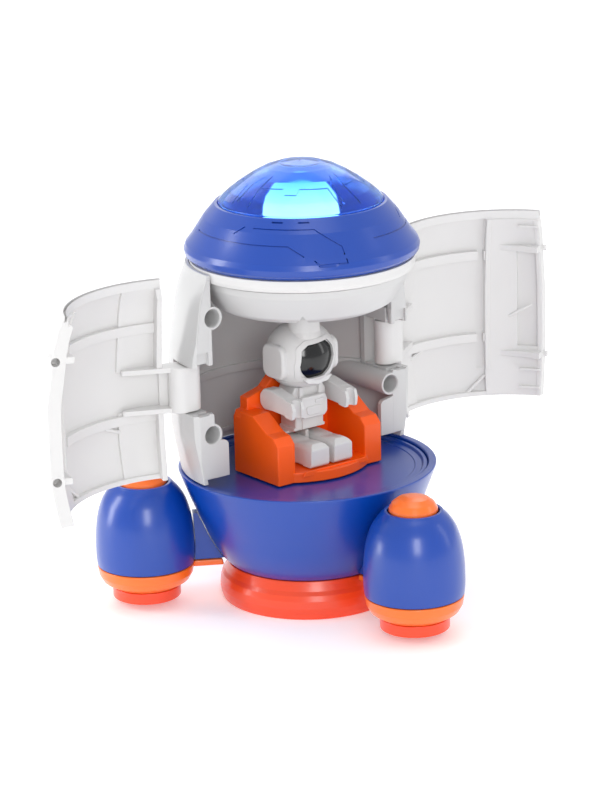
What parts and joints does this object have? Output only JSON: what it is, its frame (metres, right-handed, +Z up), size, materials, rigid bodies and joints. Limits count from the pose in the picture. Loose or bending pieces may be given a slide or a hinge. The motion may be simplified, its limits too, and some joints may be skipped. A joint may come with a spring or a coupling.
{
  "type": "toy space capsule",
  "caption": "Toy space capsule with two hinged cabin doors, a seated jointed astronaut, a clear light dome and booster feet.",
  "frame": {"origin": "middle of the foot's underside, on the surface the toy stands on", "axes": "+Z up through the dome, +X across the open doors towards the astronaut's left hand, -Y out of the cabin's front"},
  "size_m": [0.2772, 0.151, 0.1916],
  "materials": {
    "blue_plastic": "satin moulded plastic",
    "orange_plastic": "satin moulded plastic",
    "deep_orange_plastic": "satin moulded plastic",
    "seat_plastic": "satin moulded plastic",
    "white_plastic": "satin moulded plastic, finely textured inside",
    "light_grey_plastic": "satin moulded plastic",
    "figure_plastic": "matt moulded plastic",
    "clear_blue_plastic": "clear blue moulded plastic, polished",
    "light_plastic": "milky light-spreading plastic",
    "visor_plastic": "polished dark plastic",
    "steel": "bright steel",
    "board": "green lacquered board",
    "black_plastic": "matt moulded plastic"
  },
  "bodies": {
    "base": {"foot": "deep_orange_plastic", "bowl": "blue_plastic", "deck": "blue_plastic", "foot_screw_1": "steel", "foot_screw_2": "steel", "foot_screw_3": "steel", "booster_shell_1": "blue_plastic", "booster_band_1": "orange_plastic", "booster_nozzle_1": "deep_orange_plastic", "booster_cap_1": "orange_plastic", "web_1": "blue_plastic", "web_trim_1": "orange_plastic", "booster_shell_2": "blue_plastic", "booster_band_2": "orange_plastic", "booster_nozzle_2": "deep_orange_plastic", "booster_cap_2": "orange_plastic", "web_2": "blue_plastic", "web_trim_2": "orange_plastic", "booster_shell_3": "blue_plastic", "booster_band_3": "orange_plastic", "booster_nozzle_3": "deep_orange_plastic", "booster_cap_3": "orange_plastic", "web_3": "blue_plastic", "web_trim_3": "orange_plastic", "rear_shell": "light_grey_plastic", "left_hinge_pin": "steel", "right_hinge_pin": "steel", "neck_cup": "light_grey_plastic", "neck_ring": "white_plastic", "dome_collar": "blue_plastic", "dome_lens": "clear_blue_plastic", "light_core": "light_plastic", "light_tray": "light_grey_plastic", "lamp_board": "board", "lamp": "light_plastic", "battery_holder": "black_plastic", "button_cell_1": "steel", "button_cell_2": "steel", "button_cell_3": "steel", "seat": "seat_plastic"},
    "left_door": {"left_door": "white_plastic"},
    "right_door": {"right_door": "white_plastic"},
    "figure": {"astronaut_torso": "figure_plastic", "astronaut_chest_pack": "figure_plastic", "astronaut_hips": "figure_plastic"},
    "head": {"astronaut_helmet": "figure_plastic", "astronaut_visor": "visor_plastic"},
    "left_arm": {"astronaut_left_arm": "figure_plastic"},
    "right_arm": {"astronaut_right_arm": "figure_plastic"},
    "left_leg": {"astronaut_left_leg": "figure_plastic"},
    "right_leg": {"astronaut_right_leg": "figure_plastic"}
  },
  "joints": [
    {"name": "left_door_hinge", "type": "hinge", "parent": "base", "child": "left_door", "pos_m": [-0.0532, 0.011, 0.1005], "axis": [0, 0, -1], "range_deg": [-113, 8]},
    {"name": "right_door_hinge", "type": "hinge", "parent": "base", "child": "right_door", "pos_m": [0.0532, 0.011, 0.1005], "axis": [0, 0, 1], "range_deg": [-121, 0]},
    {"name": "figure_lift_out", "type": "slide", "parent": "base", "child": "figure", "axis": [0, -1, 0], "range_m": [0, 0.07]},
    {"name": "head_turn", "type": "hinge", "parent": "figure", "child": "head", "pos_m": [-0.0008, 0.002, 0.0944], "axis": [0, 0, 1], "range_deg": [-60, 60]},
    {"name": "left_shoulder", "type": "hinge", "parent": "figure", "child": "left_arm", "pos_m": [0.0098, 0.0036, 0.0892], "axis": [-1, 0, 0], "range_deg": [-60, 20]},
    {"name": "right_shoulder", "type": "hinge", "parent": "figure", "child": "right_arm", "pos_m": [-0.0114, 0.0036, 0.0892], "axis": [-1, 0, 0], "range_deg": [-60, 20]},
    {"name": "left_hip", "type": "hinge", "parent": "figure", "child": "left_leg", "pos_m": [0.0002, 0.0025, 0.067], "axis": [-1, 0, 0], "range_deg": [0, 14]},
    {"name": "right_hip", "type": "hinge", "parent": "figure", "child": "right_leg", "pos_m": [-0.0018, 0.0025, 0.067], "axis": [-1, 0, 0], "range_deg": [0, 14]}
  ]
}
